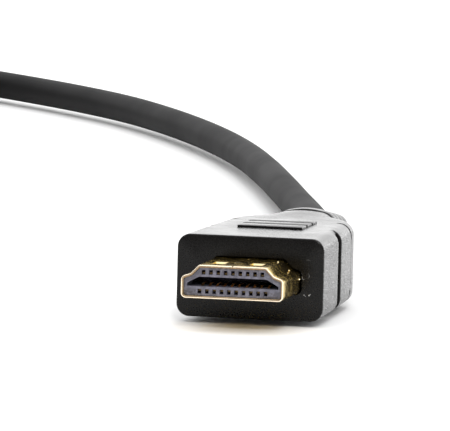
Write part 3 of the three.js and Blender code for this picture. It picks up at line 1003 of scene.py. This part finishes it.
def strap_flap(bm, uv, width):
    """The strap's free end, which lies on top and lifts and narrows towards its tip."""
    steps = 8
    across = tie_high.y - tie_low.y
    side, down = FLAP_EDGE
    rows = []
    for k in range(steps + 1):
        share = k / steps
        x = -across / 2 + FLAP_SETBACK + FLAP_LENGTH * share
        tip = max(share - FLAP_TAPER_START, 0) / (1 - FLAP_TAPER_START)
        half = width / 2 * (1.0 - FLAP_TAPER * tip ** 2) - FLAP_NARROWER
        low = tie_high.z - FLAP_SUNK + FLAP_LIFT * share ** 2
        high = low + FLAP_THICKNESS
        rows.append([
            (x, -half, low), (x, half, low), (x, half, high - down), (x, half - side, high),
            (x, -half + side, high), (x, -half, high - down),
        ])
    made_rows = bridge(bm, rows)
    for row in (made_rows[0], made_rows[-1]):
        bm.faces.new(row)
    for row in made_rows:
        for vertex in row:
            for corner in vertex.link_loops:
                corner[uv].uv = (vertex.co.y / WEAVE_SIZE[0], vertex.co.x / WEAVE_SIZE[1])


def strap_mesh():
    """The strap round the coil: a closed woven band and its free end."""
    bm = bmesh.new()
    uv = bm.loops.layers.uv.new("along")
    width = tie_high.x - tie_low.x
    strap_band(bm, uv, width)
    strap_flap(bm, uv, width)
    middle = (tie_low + tie_high) / 2
    turn = Matrix.Rotation(math.radians(-90), 4, "Z")
    bmesh.ops.transform(bm, matrix=Matrix.Translation((middle.x, middle.y, 0)) @ turn, verts=bm.verts)
    return to_object(bm, "coil_strap", 50.0)


# Surroundings

def make_floor():
    bm = bmesh.new()
    corners = [(x * FLOOR_HALF, y * FLOOR_HALF) for x, y in ((-1, -1), (1, -1), (1, 1), (-1, 1))]
    bm.faces.new([bm.verts.new((x, y, -FLOOR_DEPTH)) for x, y in corners])
    floor = to_object(bm, "white_floor")
    finish = Finish(bpy.data.materials.new("white_table"))
    tone = finish.noise(finish.place(), 30.0, 2.0, 0.5)
    colour = finish.mix(tone, grey(0.9), grey(0.92))
    paint(floor, finish.surface(Base_Color=colour, Roughness=0.85, Specular_IOR_Level=0.12))


def make_light():
    """A bright tent of light above, behind and beside the object, and a dark opening round the camera."""
    world = bpy.data.worlds.new("studio")
    bpy.context.scene.world = world
    sky = Finish(world)
    direction = sky.add("ShaderNodeTexCoord", output="Generated")
    height = sky.axes(direction)[2]
    towards = sky.add(
        "ShaderNodeVectorMath", {0: direction, 1: REAR_DIRECTION}, output="Value", operation="DOT_PRODUCT",
    )
    behind = sky.between(height, 0.1, 0.5, REAR_HORIZON, ZENITH)
    ahead = sky.between(height, 0.35, 0.85, FRONT_HORIZON, ZENITH)
    share = sky.between(towards, -0.45, 0.45)
    radiance = ahead + (behind - ahead) * share
    background = sky.add("ShaderNodeBackground", {"Strength": radiance})
    out = sky.nodes.new("ShaderNodeOutputWorld")
    world.node_tree.links.new(background.socket, out.inputs[0])
    place_softbox("front_fill", FILL_PLACE, FILL_AIM, FILL_SIZE, FILL_POWER)


def place_softbox(name, place, aim, size, power):
    data = bpy.data.lights.new(name, "AREA")
    data.size = size
    data.energy = power
    light = bpy.data.objects.new(name, data)
    light.location = place
    light.rotation_mode = "QUATERNION"
    light.rotation_quaternion = (Vector(aim) - Vector(place)).to_track_quat("-Z", "Y")
    light.visible_camera = False
    bpy.context.scene.collection.objects.link(light)


# The object

def place_cable():
    line = cable_line()
    made = tube("cable", line, CABLE_DIAMETER / 2, CABLE_SIDES)
    paint(made, jacket_finish())
    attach(made, "root")
    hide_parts("cable_lead", "cable_coil", "cable_tail")
    return made


def dress(made, body, slot, *nodes):
    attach(made, body)
    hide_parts(*nodes)
    return made


def build():
    make_camera()
    moulding, gilding = moulding_finish(), gilding_finish()
    insulation, contact = insulation_finish(), contact_finish()
    near_grip = join_into(overmould_mesh(), thumb_bars(moulding))
    paint(near_grip, moulding)
    near_shell = join_into(shell_mesh(), shell_nibs())
    note_wall(near_shell)
    paint(near_shell, gilding)
    far_grip = moved_copy(near_grip, "far_grip_and_relief", far_shift)
    far_shell = moved_copy(near_shell, "far_plug_gold_shell", far_shift)
    dress(near_grip, "root", "moulding", "near_plug_overmould")
    dress(near_shell, "root", "gilding", "near_plug_shell")
    dress(far_grip, "root", "moulding", "far_plug_overmould")
    dress(far_shell, "root", "gilding", "far_plug_shell")
    for name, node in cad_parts.items():
        if "insulator" in name or "contact" in name:
            paint(node, insulation if "insulator" in name else contact)
    tie = strap_mesh()
    paint(tie, strap_finish())
    dress(tie, "root", "strap", "coil_tie")
    place_cable()
    make_floor()
    make_light()


build()
bpy.context.scene.view_settings.view_transform = "Standard"
